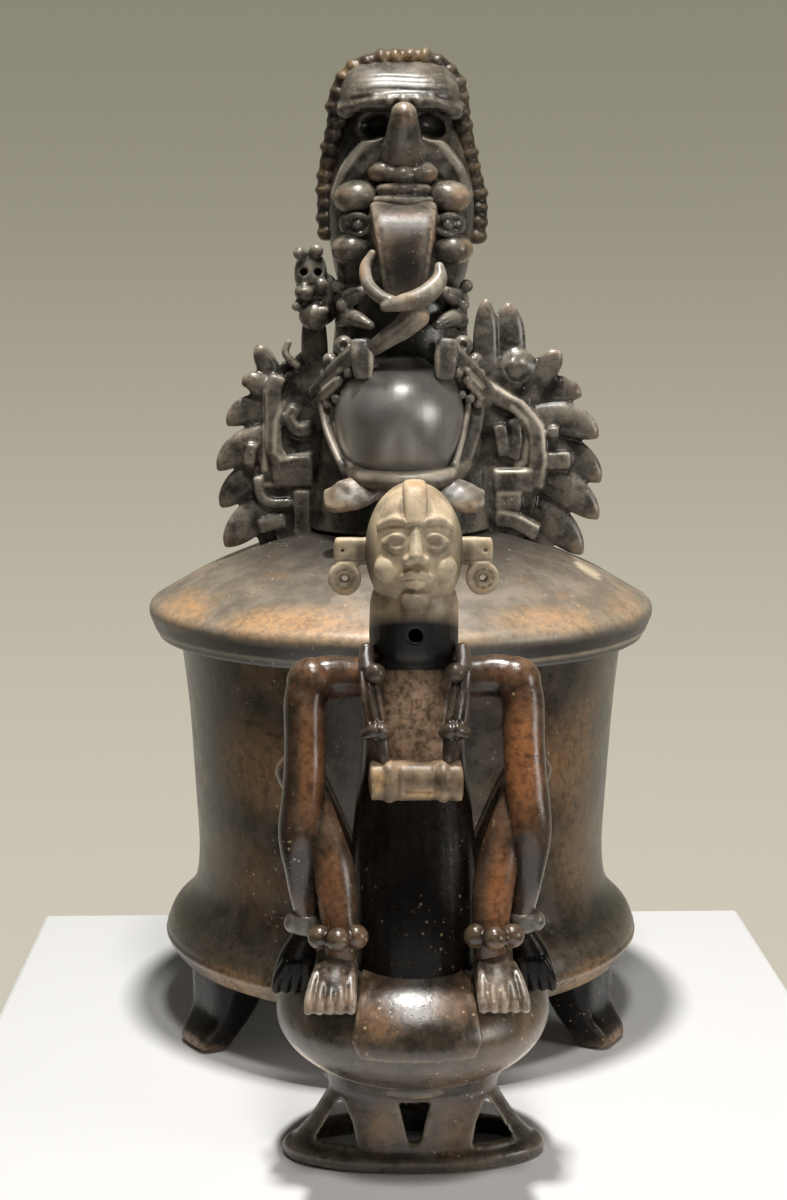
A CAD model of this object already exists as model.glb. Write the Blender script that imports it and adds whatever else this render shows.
"""Lidded tripod vessel in burnished clay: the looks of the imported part."""

import math
import typing

import bmesh
import bpy
import numpy as np
from mathutils import Euler, Matrix, Vector


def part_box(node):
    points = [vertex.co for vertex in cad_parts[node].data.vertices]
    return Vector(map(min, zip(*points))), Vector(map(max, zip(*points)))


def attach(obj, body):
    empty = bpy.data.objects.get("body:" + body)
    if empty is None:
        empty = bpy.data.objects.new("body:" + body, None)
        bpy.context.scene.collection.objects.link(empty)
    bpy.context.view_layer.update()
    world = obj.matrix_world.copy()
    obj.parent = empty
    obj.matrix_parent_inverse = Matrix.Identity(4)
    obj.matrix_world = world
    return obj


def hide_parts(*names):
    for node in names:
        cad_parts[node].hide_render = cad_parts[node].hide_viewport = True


bl_info = {
    "name": "Tripod vessel",
    "version": (1, 0, 0),
    "blender": (4, 5, 0),
    "location": "3D View > Sidebar > Vessel",
    "description": "Models the clay, finish and stage of a lidded tripod vessel",
    "category": "Add Mesh",
}

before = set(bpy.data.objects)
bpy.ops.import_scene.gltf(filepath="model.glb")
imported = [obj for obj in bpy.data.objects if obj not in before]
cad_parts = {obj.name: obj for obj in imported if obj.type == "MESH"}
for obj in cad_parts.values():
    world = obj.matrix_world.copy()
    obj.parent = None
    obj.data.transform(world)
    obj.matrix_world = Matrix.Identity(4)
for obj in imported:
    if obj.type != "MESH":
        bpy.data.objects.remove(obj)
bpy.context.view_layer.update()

MM = 0.001
FORWARD = Vector((0, -1, 0))
UPWARD = Vector((0, 0, 1))
SIDES = {"left": -1, "right": 1}


def middle(node):
    low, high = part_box(node)
    return (low + high) / 2


class Start(typing.NamedTuple):
    """The point that a group of forms is measured from, and the body that they move with."""

    body: str
    point: Vector


# Height of the figure's seat above the ground, in millimetres
SEAT_HEIGHT = 63
# The ground under the cylinder, for the vessel and for the lid, the figure's seat on the bowl, and
# the middle of the lid's top
GROUND = Start("vessel", Vector((0, middle("main_chamber").y, 0)))
COVER = Start("lid", GROUND.point)
SEAT = Start("vessel", Vector((0, middle("pedestal").y + 3 * MM, SEAT_HEIGHT * MM)))
PERCH = Start("lid", Vector((0, middle("lid_cover").y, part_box("lid_cover")[1].z)))


# Clay forms


def smooth_path(stations, steps):
    """Stations with more between them, on a curve through them all."""
    rows = np.array(stations, float)
    ends = np.vstack([2 * rows[0] - rows[1], rows, 2 * rows[-1] - rows[-2]])
    found = []
    for i in range(len(rows) - 1):
        a, b, c, d = ends[i : i + 4]
        for t in np.linspace(0, 1, steps, endpoint=False):
            found.append(0.5 * (2 * b + (c - a) * t + (2 * a - 5 * b + 4 * c - d) * t**2
                                + (3 * b - a - 3 * c + d) * t**3))
    return np.array([*found, rows[-1]])


def on_side(side, stations):
    return [[x * side, *rest] for x, *rest in stations]


class Clay:
    """Lumps, rolls and plates of clay pressed into one piece, in millimetres from a start."""

    def __init__(self, start):
        self.start = start
        self.lump = bmesh.new()
        self.waste = bmesh.new()

    def ball(self, place, sizes, lean=(0, 0, 0), detail=4, out_of=None):
        turn = Euler([math.radians(angle) for angle in lean]).to_matrix().to_4x4()
        sizes = (sizes,) * 3 if isinstance(sizes, (int, float)) else sizes
        bmesh.ops.create_icosphere(
            out_of or self.lump, subdivisions=detail, radius=1,
            matrix=Matrix.Translation(place) @ turn @ Matrix.Diagonal((*sizes, 1)))

    def peg(self, start, end, radius, out_of=None):
        start, end = Vector(start), Vector(end)
        line = end - start
        turn = line.to_track_quat("Z", "Y").to_matrix().to_4x4()
        bmesh.ops.create_cone(
            out_of or self.lump, cap_ends=True, segments=32, radius1=radius, radius2=radius,
            depth=line.length,
            matrix=Matrix.Translation((start + end) / 2) @ turn)

    def roll(self, stations, square=1.0, dome=0.8, front=FORWARD, steps=5, sides=20):
        """A roll through [x, y, z, half width, half depth], its depth towards the front."""
        rows = smooth_path(stations, steps)
        along = np.gradient(rows[:, :3], axis=0)
        rings = []

        def ring(i, scale, slide):
            tangent = Vector(along[i]).normalized()
            side = tangent.cross(front).normalized()
            depth = side.cross(tangent).normalized()
            wide, deep = rows[i, 3:5]
            centre = Vector(rows[i, :3]) + tangent * slide * min(wide, deep)
            made = bmesh.ops.create_circle(self.lump, segments=sides, radius=1)["verts"]
            for vert in made:
                x, y = (math.copysign(abs(value) ** square, value) for value in vert.co.xy)
                vert.co = centre + side * wide * scale * x + depth * deep * scale * y
            rings.append(list({edge for vert in made for edge in vert.link_edges}))

        for angle in (80, 60, 40, 20):
            turn = math.radians(angle)
            ring(0, math.cos(turn), -dome * math.sin(turn))
        for i in range(len(rows)):
            ring(i, 1, 0)
        for angle in (20, 40, 60, 80):
            turn = math.radians(angle)
            ring(len(rows) - 1, math.cos(turn), dome * math.sin(turn))
        for one, other in zip(rings, rings[1:]):
            bmesh.ops.bridge_loops(self.lump, edges=one + other)
        for end in (rings[0], rings[-1]):
            bmesh.ops.edgeloop_fill(self.lump, edges=end)

    def rings(self, rows, out_of=None):
        """Level ovals one over another, each [x, y, z, half width, half depth]."""
        work = out_of or self.lump
        loops = []
        for x, y, z, wide, deep in rows:
            made = bmesh.ops.create_circle(
                work, segments=56, radius=1,
                matrix=Matrix.Translation((x, y, z)) @ Matrix.Diagonal((wide, deep, 1, 1)))["verts"]
            loops.append(list({edge for vert in made for edge in vert.link_edges}))
        for one, other in zip(loops, loops[1:]):
            bmesh.ops.bridge_loops(work, edges=one + other)
        for end in (loops[0], loops[-1]):
            bmesh.ops.edgeloop_fill(work, edges=end)

    def plate(self, outline, front, thickness, out_of=None):
        """A flat plate with an outline of X and Z, from the front back."""
        work = out_of or self.lump
        face = work.faces.new([work.verts.new((x, front, z)) for x, z in outline])
        grown = bmesh.ops.extrude_face_region(work, geom=[face])["geom"]
        bmesh.ops.translate(work, vec=(0, thickness, 0),
                            verts=[v for v in grown if isinstance(v, bmesh.types.BMVert)])

    def fired(self, name, coarser=0.0):
        """The clay as the skin of one piece, its facets as fine as the grain."""
        grain, soften = sizes().grain + coarser, sizes().soften
        place = Matrix.Translation(self.start.point) @ Matrix.Scale(MM, 4)
        piece = mesh_object(name, self.lump, place)
        if self.waste.faces:
            cutter = mesh_object(name + "_waste", self.waste, place)
            remesh(piece, grain, 0)
            remesh(cutter, grain, 0)
            cut = piece.modifiers.new("cut", "BOOLEAN")
            cut.operation, cut.solver, cut.object = "DIFFERENCE", "MANIFOLD", cutter
            settle(piece)
            bpy.data.objects.remove(cutter)
        remesh(piece, grain, soften)
        self.waste.free()
        return Skin(piece, self.start)


def mesh_object(name, work, place):
    bmesh.ops.recalc_face_normals(work, faces=work.faces)
    work.transform(place)
    mesh = bpy.data.meshes.new(name)
    work.to_mesh(mesh)
    work.free()
    piece = bpy.data.objects.new(name, mesh)
    bpy.context.scene.collection.objects.link(piece)
    return piece


def settle(piece):
    """Applies the piece's modifiers."""
    evaluated = piece.evaluated_get(bpy.context.evaluated_depsgraph_get())
    mesh = bpy.data.meshes.new_from_object(evaluated)
    piece.modifiers.clear()
    old, piece.data = piece.data, mesh
    bpy.data.meshes.remove(old)
    mesh.name = piece.name


def remesh(piece, grain, soften):
    skin = piece.modifiers.new("skin", "REMESH")
    skin.mode, skin.voxel_size, skin.adaptivity = "VOXEL", grain * MM, 0
    if soften:
        rub = piece.modifiers.new("rub", "SMOOTH")
        rub.factor, rub.iterations = 0.5, soften
    settle(piece)


# Work on the surface


class Skin:
    """The surface of a piece, to be pressed, marked where it wears, and finished."""

    def __init__(self, piece, start):
        self.piece, self.mesh = piece, piece.data
        self.start, self.body = np.array(start.point), start.body
        self.points = self.read(self.mesh.vertices, "co", 3) / MM - self.start / MM
        edges = np.zeros(len(self.mesh.edges) * 2, np.int32)
        self.mesh.edges.foreach_get("vertices", edges)
        self.edges = edges.reshape(-1, 2)
        self.count = np.maximum(np.bincount(self.edges.ravel(), minlength=len(self.points)), 1)

    @staticmethod
    def read(items, name, width):
        values = np.zeros(len(items) * width, np.float32)
        items.foreach_get(name, values)
        return values.reshape(-1, width).astype(float)

    def normals(self):
        return self.read(self.mesh.vertices, "normal", 3)

    def around(self, values):
        """The mean of each point's neighbours."""
        a, b = self.edges.T
        total = np.bincount(a, values[b], len(values)) + np.bincount(b, values[a], len(values))
        return total / self.count

    def blurred(self, values, times):
        for _ in range(times):
            values = (values + self.around(values)) / 2
        return values

    def write(self):
        self.mesh.vertices.foreach_set(
            "co", ((self.points + self.start / MM) * MM).astype(np.float32).ravel())
        self.mesh.update()

    def distance(self, path, facing):
        """How far each point is from a path, seen along `facing`."""
        facing = Vector(facing).normalized()
        across = facing.orthogonal().normalized()
        axes = np.array([across, facing.cross(across)]).T
        points, line = self.points @ axes, np.array(path, float) @ axes
        nearest = np.full(len(points), 1e9)
        for a, b in zip(line, line[1:] if len(line) > 1 else line):
            span = b - a
            share = np.clip((points - a) @ span / max(span @ span, 1e-9), 0, 1)
            nearest = np.minimum(nearest, np.linalg.norm(points - a - share[:, None] * span,
                                                         axis=1))
        return nearest

    def press(self, path, width, depth, facing=FORWARD, reach=14):
        """Presses a groove along a path, or raises a ridge where the depth is negative."""
        path = [list(place) for place in path]
        line = smooth_path(path, 6) if len(path) > 2 else np.array(path, float)
        push = np.array(Vector(facing).normalized())
        far = self.distance(line, facing)
        level = (self.points - line.mean(0)) @ push
        near = (far < width) & (self.normals() @ push > 0.05) & (abs(level) < reach)
        share = (1 - (far[near] / width) ** 2) ** 1.5
        self.points[near] -= push * (depth * share)[:, None]
        self.write()

    def ripple(self, amount, size, seed):
        """Slow unevenness of handwork."""
        found = np.zeros(len(self.points))
        for k in range(5):
            turn = np.array([math.sin(seed + 2.1 * k), math.cos(seed * 1.7 + k),
                             math.sin(3 * seed - k)])
            found += np.sin(self.points @ turn * (2 + 0.9 * k) / size + seed * k) / (1 + k)
        self.points += self.normals() * (found * amount / 2)[:, None]
        self.write()

    def mark(self, tints=(), spread=24, dust=(), deep=0.9):
        """Writes what the finishes read: edge, hollow, tone, and dust along paths of X and Z."""
        normals = self.normals()
        slow = np.stack([self.blurred(self.points[:, k], spread) for k in range(3)], 1)
        raised = self.blurred(((self.points - slow) * normals).sum(1), 2)
        tone = np.zeros(len(self.points))
        for place, size, value in tints:
            far = np.linalg.norm((self.points - np.array(place)) / np.array(size), axis=1)
            tone += value * np.clip(1.6 - 1.6 * far, 0, 1)
        self.write_values("edge", np.clip(raised / 0.7, 0, 1))
        self.write_values("hollow", np.clip(-raised / deep, 0, 1))
        self.write_values("tone", np.clip(tone, -1, 1))
        pale = np.zeros(len(self.points))
        for width, *line in dust:
            far = self.distance([(x, 0, z) for x, z in line], FORWARD)
            pale = np.maximum(pale, np.clip(1.4 - far / width, 0, 1) * (normals[:, 1] < 0.3))
        self.write_values("dust", pale)

    def write_values(self, name, values):
        layer = self.mesh.attributes.new(name, "FLOAT", "POINT")
        layer.data.foreach_set("value", values.astype(np.float32))

    def finish(self, slot, material, *nodes):
        """Gives the piece its finish and body in place of the CAD nodes that it stands for."""
        self.mesh.shade_smooth()
        self.mesh.materials.clear()
        self.mesh.materials.append(material)
        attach(self.piece, self.body)
        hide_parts(*nodes)


def turned(name, outline, start):
    """The skin of an outline of radius and height turned about the start's upright axis."""
    work = bmesh.new()
    verts = [work.verts.new((radius, 0, z)) for radius, z in outline]
    edges = [work.edges.new(pair) for pair in zip(verts, verts[1:])]
    bmesh.ops.spin(work, geom=verts + edges, cent=(0, 0, 0), axis=(0, 0, 1), angle=math.tau,
                   steps=sizes().wall_steps, use_merge=True)
    bmesh.ops.remove_doubles(work, verts=work.verts, dist=0.01)
    piece = mesh_object(name, work, Matrix.Translation(start.point) @ Matrix.Scale(MM, 4))
    return Skin(piece, start)


def profile(points, pitch):
    """A smooth line of radius and height, with points about a pitch apart."""
    line = smooth_path(points, 24)
    far = np.concatenate([[0], np.cumsum(np.linalg.norm(np.diff(line, axis=0), axis=1))])
    even = np.linspace(0, far[-1], max(int(far[-1] / pitch), 2) + 1)
    return [(float(np.interp(d, far, line[:, 0])), float(np.interp(d, far, line[:, 1])))
            for d in even]


def arc(centre, radius, start, end, count=5):
    return [(centre[0] + radius * math.cos(math.radians(a)),
             centre[1] + radius * math.sin(math.radians(a)))
            for a in np.linspace(start, end, count)]


# Finishes


def wire(tree, kind, inputs=(), **settings):
    """Adds a node, sets it and its inputs, and links those that come from other nodes."""
    node = tree.nodes.new(kind)
    for name, value in settings.items():
        setattr(node, name, value)
    for key, value in dict(inputs).items():
        socket = node.inputs[key]
        if isinstance(value, bpy.types.NodeSocket):
            tree.links.new(value, socket)
        else:
            socket.default_value = value
    return node


def math_node(tree, operation, a, b=0.0, clamp=False):
    return wire(tree, "ShaderNodeMath", {0: a, 1: b}, operation=operation,
                use_clamp=clamp).outputs[0]


def ramp(tree, value, low, high, start=0.0, end=1.0):
    node = wire(tree, "ShaderNodeMapRange", {0: value, 1: low, 2: high, 3: start, 4: end})
    node.interpolation_type = "SMOOTHSTEP"
    return node.outputs[0]


def blend(tree, share, a, b):
    return wire(tree, "ShaderNodeMix", {0: share, 6: a, 7: b}, data_type="RGBA").outputs[2]


def noise(tree, where, scale, detail, rough=0.5):
    return wire(tree, "ShaderNodeTexNoise", {"Vector": where, "Scale": scale, "Detail": detail,
                                             "Roughness": rough}).outputs["Fac"]


CLAY_INPUTS = {
    "Coal": ("Color", (0.02, 0.016, 0.012, 1)),
    "Earth": ("Color", (0.06, 0.04, 0.026, 1)),
    "Rust": ("Color", (0.2, 0.08, 0.03, 1)),
    "Worn": ("Color", (0.32, 0.23, 0.15, 1)),
    "Rust amount": ("Float", 0.4),
    "Wear": ("Float", 0.5),
    "Gloss": ("Float", 0.32),
    "Patch size": ("Float", 22.0),
    "Evenness": ("Float", 0.0),
    "Edge": ("Float", 0.0),
    "Hollow": ("Float", 0.0),
    "Tone": ("Float", 0.0),
    "Dust": ("Float", 0.0),
}
# Depth of the burnishing strokes and pits, in metres
RELIEF = 0.00022
# Finishes whose main colour is a property of the panel
USER_COLOURS = {"burnished_dark_clay": "dark_clay", "burnished_red_clay": "red_clay",
                "burnished_black_clay": "black_clay", "worn_tan_clay": "tan_clay"}


def clay_group():
    """The shared look of fired and burnished clay, made once."""
    found = bpy.data.node_groups.get("fired_clay")
    if found:
        return found
    tree = bpy.data.node_groups.new("fired_clay", "ShaderNodeTree")
    for name, (kind, value) in CLAY_INPUTS.items():
        socket = tree.interface.new_socket(name, in_out="INPUT", socket_type="NodeSocket" + kind)
        socket.default_value = value
    for name, kind in {"Color": "Color", "Roughness": "Float", "Height": "Float"}.items():
        tree.interface.new_socket(name, in_out="OUTPUT", socket_type="NodeSocket" + kind)
    given = tree.nodes.new("NodeGroupInput").outputs
    where = tree.nodes.new("ShaderNodeTexCoord").outputs["Object"]

    patches = noise(tree, where, given["Patch size"], 9, 0.68)
    clouds = noise(tree, where, 120, 8, 0.68)
    fine = noise(tree, where, 420, 6, 0.7)
    grit = noise(tree, where, 900, 3, 0.6)
    freckles = wire(tree, "ShaderNodeTexVoronoi", {"Vector": where, "Scale": 460},
                    feature="F1").outputs
    strokes = wire(tree, "ShaderNodeMapping", {"Vector": where, "Scale": (1, 1, 0.16)}).outputs[0]
    burnish = noise(tree, strokes, 260, 3)

    ground = blend(tree, given["Evenness"], given["Coal"], given["Earth"])
    base = blend(tree, ramp(tree, clouds, 0.36, 0.68), ground, given["Earth"])
    spread = math_node(tree, "MULTIPLY", ramp(tree, patches, 0.5, 0.68), given["Rust amount"])
    rust = math_node(tree, "ADD", spread, math_node(
        tree, "MULTIPLY", math_node(tree, "MAXIMUM", given["Tone"], 0.0),
        ramp(tree, fine, 0.36, 0.6, 0.3)),
        clamp=True)
    base = blend(tree, rust, base, given["Rust"])
    soot = math_node(tree, "MULTIPLY", math_node(tree, "MAXIMUM", math_node(
        tree, "MULTIPLY", given["Tone"], -1.0), 0.0), 0.97)
    base = blend(tree, soot, base, given["Coal"])
    rub = math_node(tree, "MULTIPLY", math_node(tree, "MULTIPLY", given["Edge"], given["Wear"]),
                    ramp(tree, fine, 0.36, 0.6, 0.3), clamp=True)
    rub = math_node(tree, "MULTIPLY", rub, math_node(tree, "SUBTRACT", 1.0, soot, clamp=True))
    base = blend(tree, rub, base, given["Worn"])
    depths = math_node(tree, "MULTIPLY", given["Hollow"], 0.9)
    base = blend(tree, depths, base, given["Coal"])
    chosen = math_node(tree, "MULTIPLY", ramp(tree, freckles["Distance"], 0.1, 0.26, 1.0, 0.0),
                       ramp(tree, freckles["Color"], 0.6, 0.64))
    speck = math_node(tree, "MULTIPLY", math_node(tree, "MAXIMUM", chosen,
                                                  ramp(tree, grit, 0.66, 0.72)),
                      ramp(tree, patches, 0.46, 0.62, 0.02, 0.8))
    base = blend(tree, speck, base, given["Worn"])
    dusty = math_node(tree, "MULTIPLY", given["Dust"], ramp(tree, clouds, 0.3, 0.55, 0.35),
                      clamp=True)
    base = blend(tree, dusty, base, given["Worn"])

    dull = math_node(tree, "MULTIPLY", rub, 0.12)
    rough = math_node(tree, "ADD", given["Gloss"], ramp(tree, clouds, 0.3, 0.7, -0.05, 0.09))
    rough = math_node(tree, "ADD", rough, dull)
    rough = math_node(tree, "ADD", rough, math_node(tree, "MULTIPLY", given["Hollow"], 0.2),
                      clamp=True)

    pits = ramp(tree, freckles["Distance"], 0.0, 0.16, -0.5, 0.0)
    height = math_node(tree, "ADD", math_node(tree, "MULTIPLY", burnish, 0.55), pits)
    height = math_node(tree, "ADD", height, math_node(tree, "MULTIPLY", clouds, 1.6))
    out = tree.nodes.new("NodeGroupOutput").inputs
    tree.links.new(base, out["Color"])
    tree.links.new(rough, out["Roughness"])
    tree.links.new(height, out["Height"])
    return tree


# The finishes: a row's colours and amounts stand in for those of CLAY_INPUTS
PALE = dict(coal=(0.07, 0.06, 0.05), earth=(0.24, 0.21, 0.165), rust=(0.52, 0.3, 0.14),
            worn=(0.78, 0.72, 0.6), rust_amount=0.2, wear=1.0, gloss=0.33, patch_size=40)
FINISHES = {
    "burnished_dark_clay": dict(coal=(0.028, 0.023, 0.017), earth=(0.1, 0.08, 0.06),
                                rust=(0.4, 0.22, 0.095), worn=(0.7, 0.57, 0.4), rust_amount=0.34,
                                gloss=0.27, specular=0.8),
    "burnished_red_clay": dict(coal=(0.02, 0.013, 0.01), earth=(0.11, 0.055, 0.032),
                               rust=(0.42, 0.15, 0.045), worn=(0.8, 0.6, 0.38), rust_amount=0.35,
                               wear=0.35, gloss=0.22, patch_size=55, specular=0.7),
    "burnished_black_clay": dict(coal=(0.024, 0.022, 0.018), earth=(0.27, 0.245, 0.2),
                                 rust=(0.45, 0.25, 0.12), worn=(0.7, 0.62, 0.5), rust_amount=0.16,
                                 wear=0.7, gloss=0.24, patch_size=30, specular=0.7),
    "sooty_clay": dict(coal=(0.006, 0.005, 0.0045), earth=(0.018, 0.014, 0.011),
                       rust=(0.75, 0.5, 0.33), worn=(0.4, 0.28, 0.18), rust_amount=0.02, gloss=0.24,
                       specular=0.2),
    "worn_tan_clay": dict(coal=(0.06, 0.04, 0.024), earth=(0.87, 0.7, 0.47),
                          rust=(0.62, 0.36, 0.15), worn=(0.85, 0.78, 0.64), rust_amount=0.4,
                          evenness=0.45, wear=0.45, gloss=0.4, patch_size=60, relief=0.0003),
    "lid_clay": dict(coal=(0.05, 0.043, 0.035), earth=(0.32, 0.265, 0.205), rust=(0.66, 0.38, 0.18),
                     worn=(0.7, 0.58, 0.42), rust_amount=0.25, evenness=0.55, wear=0.6, gloss=0.37,
                     patch_size=70, specular=1.0),
    "apron_clay": dict(coal=(0.022, 0.016, 0.012), earth=(0.085, 0.062, 0.044),
                       rust=(0.4, 0.2, 0.09), worn=(0.8, 0.62, 0.38), rust_amount=0.25, wear=0.5,
                       gloss=0.28, patch_size=60, specular=1.0),
    "strap_clay": dict(coal=(0.018, 0.014, 0.011), earth=(0.085, 0.06, 0.044),
                       rust=(0.4, 0.19, 0.09), worn=(0.5, 0.38, 0.27), rust_amount=0.3, wear=0.45,
                       gloss=0.25, patch_size=70, specular=0.6),
    "toe_clay": dict(coal=(0.04, 0.032, 0.025), earth=(0.2, 0.15, 0.11), rust=(0.5, 0.3, 0.17),
                     worn=(0.8, 0.68, 0.54), rust_amount=0.3, wear=0.9, gloss=0.3, patch_size=60,
                     specular=0.8),
    "breast_clay": dict(coal=(0.06, 0.058, 0.055), earth=(0.5, 0.487, 0.465), rust=(0.2, 0.14, 0.1),
                        rust_amount=0.04, evenness=0.9, wear=0.2, gloss=0.35, relief=0.00008,
                        specular=1.0, metal=0.65),
    "bib_clay": dict(coal=(0.045, 0.039, 0.031), earth=(0.16, 0.138, 0.11), rust=(0.45, 0.27, 0.13),
                     worn=(0.62, 0.54, 0.43), rust_amount=0.2, wear=0.9, gloss=0.33, patch_size=40,
                     specular=0.8),
    "beak_clay": dict(coal=(0.028, 0.025, 0.021), earth=(0.1, 0.085, 0.068), rust=(0.5, 0.23, 0.1),
                      worn=(0.66, 0.55, 0.42), rust_amount=0.1, wear=0.9, gloss=0.38, patch_size=70,
                      specular=0.4),
    "crescent_clay": dict(coal=(0.16, 0.14, 0.11), earth=(0.56, 0.5, 0.41), rust=(0.62, 0.36, 0.17),
                          worn=(0.72, 0.66, 0.56), rust_amount=0.3, wear=0.6, gloss=0.34,
                          patch_size=50),
    "visor_clay": dict(coal=(0.05, 0.044, 0.035), earth=(0.19, 0.165, 0.13),
                       rust=(0.45, 0.27, 0.13), worn=(0.66, 0.58, 0.46), rust_amount=0.15, wear=0.9,
                       gloss=0.36, specular=0.8),
    "string_clay": dict(coal=(0.024, 0.019, 0.014), earth=(0.115, 0.088, 0.06),
                        rust=(0.45, 0.27, 0.12), worn=(0.55, 0.42, 0.27), rust_amount=0.45,
                        wear=0.7, gloss=0.36, patch_size=60),
    "pendant_clay": PALE | dict(coal=(0.08, 0.055, 0.038), earth=(0.42, 0.29, 0.18),
                                rust=(0.82, 0.53, 0.25), worn=(0.78, 0.6, 0.38), rust_amount=0.4,
                                wear=0.5, gloss=0.36),
    "stump_clay": PALE | dict(rust_amount=0.45),
    "horn_clay": PALE | dict(coal=(0.17, 0.14, 0.11), earth=(0.58, 0.52, 0.43),
                             rust=(0.66, 0.38, 0.18), worn=(0.75, 0.7, 0.6), rust_amount=0.3,
                             patch_size=50),
}


def finish(name):
    """The material of a finish, made at its first use."""
    found = bpy.data.materials.get(name)
    if found:
        return found
    material = bpy.data.materials.new(name)
    material.use_nodes = True
    tree = material.node_tree
    shader = tree.nodes["Principled BSDF"]
    look = tree.nodes.new("ShaderNodeGroup")
    look.node_tree = clay_group()
    values = {"relief": RELIEF, "specular": 0.5, "metal": 0.0} | FINISHES[name]
    if name in USER_COLOURS:
        values["earth"] = getattr(bpy.context.scene.vessel_look, USER_COLOURS[name])[:3]
    relief, specular, metal = (values.pop(key) for key in ("relief", "specular", "metal"))
    for key, value in values.items():
        if key in ("coal", "earth", "rust", "worn"):
            value = (*value, 1)
        look.inputs[key.replace("_", " ").capitalize()].default_value = value
    for mark in ("Edge", "Hollow", "Tone", "Dust"):
        layer = wire(tree, "ShaderNodeAttribute", attribute_name=mark.lower())
        tree.links.new(layer.outputs["Fac"], look.inputs[mark])
    bump = wire(tree, "ShaderNodeBump", {"Strength": 0.5, "Distance": relief,
                                         "Height": look.outputs["Height"]})
    tree.links.new(look.outputs["Color"], shader.inputs["Base Color"])
    tree.links.new(look.outputs["Roughness"], shader.inputs["Roughness"])
    tree.links.new(bump.outputs["Normal"], shader.inputs["Normal"])
    shader.inputs["Specular IOR Level"].default_value = specular
    shader.inputs["Metallic"].default_value = metal
    return material


def head_clay():
    """Worn tan clay that turns black down the neck."""
    made = bpy.data.materials.get("head_clay")
    if made:
        return made
    made = finish("worn_tan_clay").copy()
    made.name = "head_clay"
    tree = made.node_tree
    shader = tree.nodes["Principled BSDF"]
    neck = wire(tree, "ShaderNodeAttribute", attribute_name="neck").outputs["Fac"]
    worn = shader.inputs["Base Color"].links[0].from_socket
    tree.links.new(blend(tree, neck, worn, (*FINISHES["sooty_clay"]["coal"], 1)),
                   shader.inputs["Base Color"])
    return made


# Sizes and colours for the panel


class Sizes(bpy.types.PropertyGroup):
    """How finely the forms are made"""

    grain: bpy.props.FloatProperty(
        name="Grain", description="Size of the facets of the modelled forms, in millimetres",
        default=0.6, min=0.3, max=2)
    soften: bpy.props.IntProperty(
        name="Softening", description="How many times the modelled forms are rubbed smooth",
        default=4, min=0, max=20)
    wall_steps: bpy.props.IntProperty(
        name="Turning steps", description="Steps round the turned cylinder and lid", default=220,
        min=24, max=720)


def colour_property(name, description, default):
    return bpy.props.FloatVectorProperty(name=name, description=description, subtype="COLOR",
                                         size=4, default=(*default, 1), min=0, max=1)


def power_property(name, description, default):
    return bpy.props.FloatProperty(name=name, description=description + ", in watts",
                                   default=default, min=0, unit="POWER")


class Look(bpy.types.PropertyGroup):
    """Colours of the clay and the stage, and the power of the lamps"""

    dark_clay: colour_property(
        "Dark clay", "Main colour of the cylinder and the bowl",
        FINISHES["burnished_dark_clay"]["earth"])
    red_clay: colour_property(
        "Red clay", "Main colour of the figure's limbs", FINISHES["burnished_red_clay"]["earth"])
    black_clay: colour_property(
        "Black clay", "Main colour of the bird", FINISHES["burnished_black_clay"]["earth"])
    tan_clay: colour_property(
        "Tan clay", "Main colour of the figure's head", FINISHES["worn_tan_clay"]["earth"])
    wall_low: colour_property("Wall, low", "Colour of the wall behind the plinth",
                              (0.62, 0.575, 0.475))
    wall_high: colour_property("Wall, high", "Colour of the wall above", (0.262, 0.245, 0.185))
    plinth: colour_property("Plinth", "Colour of the plinth", (0.95, 0.955, 0.96))
    overhead_power: power_property("Overhead light", "Power of the overhead lamp", 9.2)
    front_power: power_property("Front light", "Power of the front lamp", 5)
    side_power: power_property("Side light", "Power of the lamp at the right", 2.4)


def sizes():
    return bpy.context.scene.vessel_sizes


# Vessel


def chamber_outline():
    """The cylinder's outer wall, lip, inner wall and floor, as radius and height."""
    outer = profile([(79.9, 32.2), (77.6, 37.4), (72.6, 42.5), (69.6, 48.5), (68.6, 60),
                     (69.5, 77.9), (71.45, 107.7), (74, 130.6)], 1.5)
    flange = [(0, 24), (20, 24), (45, 24), (66, 24), *arc((75.2, 26.5), 2.6, -90, -30, 4),
              *arc((78.6, 30.2), 1.7, -40, 45, 5)]
    lip = arc((72.9, 130.3), 1.2, 20, 90, 4) + arc((70.5, 130.3), 1.2, 90, 180, 4)
    inner = profile([(69.3, 128), (66.6, 107.7), (64.6, 77.9), (63.6, 60), (65, 46), (69, 36),
                     (68, 31), (62, 29), (40, 29), (0, 29)], 3)
    return [*flange, *outer, *lip, *inner]


class VESSEL_OT_chamber(bpy.types.Operator):
    """Turns the main cylinder with its flared foot flange"""

    bl_idname = "vessel.chamber"
    bl_label = "Main cylinder"

    def execute(self, context):
        skin = turned("chamber_wall", chamber_outline(), GROUND)
        skin.ripple(0.25, 42, 1.3)
        skin.press([(46, -60, 96), (50, -54, 86), (52, -50, 74), (58, -44, 66)], 0.5, 0.35,
                   reach=30)
        skin.mark([((-46, -52, 98), (26, 26, 20), 0.75), ((54, -46, 98), (22, 24, 22), 0.75),
                   ((58, -40, 66), (18, 24, 24), 0.5), ((-58, -40, 62), (16, 20, 16), 0.3),
                   ((-54, -58, 28), (24, 22, 7), 0.9), ((57, -50, 28), (18, 22, 7), 0.9),
                   ((-66, 10, 70), (30, 30, 40), -0.3), ((30, 66, 90), (40, 20, 30), 0.3)], 6)
        skin.finish("dark_clay", finish("burnished_dark_clay"), "main_chamber")
        return {"FINISHED"}


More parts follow.
